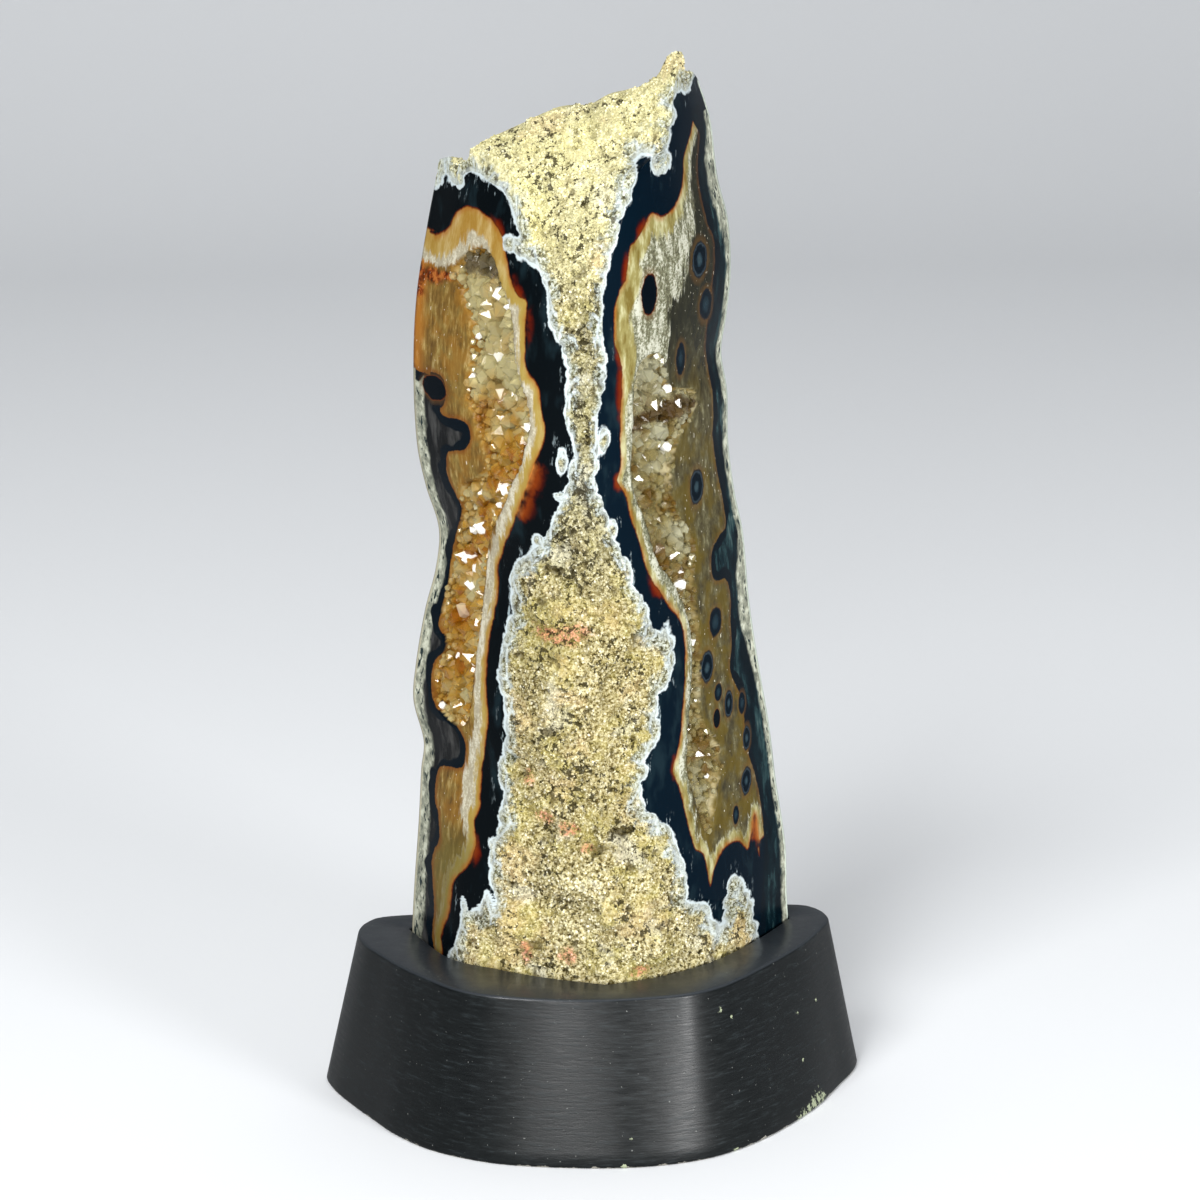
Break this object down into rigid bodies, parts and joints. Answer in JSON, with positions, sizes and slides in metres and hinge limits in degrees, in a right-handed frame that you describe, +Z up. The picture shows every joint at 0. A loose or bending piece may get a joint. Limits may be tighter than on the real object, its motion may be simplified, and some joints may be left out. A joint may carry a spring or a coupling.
{
  "type": "agate geode on a wooden stand",
  "caption": "Tall upright agate geode with two polished banded faces, crystal-lined hollows and rough natural rock between them, standing in a pocket of a flared black wooden stand.",
  "frame": {"origin": "middle of the underside of the wooden stand", "axes": "+Z up, the rough front edge between the two polished faces looks towards -Y, +X to the viewer's right"},
  "size_m": [0.1518, 0.0906, 0.2924],
  "materials": {
    "agate": "polished banded agate on the two ground faces, rough yellow-cream rock elsewhere",
    "golden_quartz": "golden druzy quartz with small clear points",
    "tan_quartz": "tan and grey druzy quartz with small clear points",
    "black_wood": "satin black paint over wood with a faint level grain"
  },
  "bodies": {
    "root": {"agate_geode": "agate", "left_hollow_crystals": "golden_quartz", "right_hollow_crystals": "tan_quartz", "wooden_stand": "black_wood"}
  },
  "joints": []
}
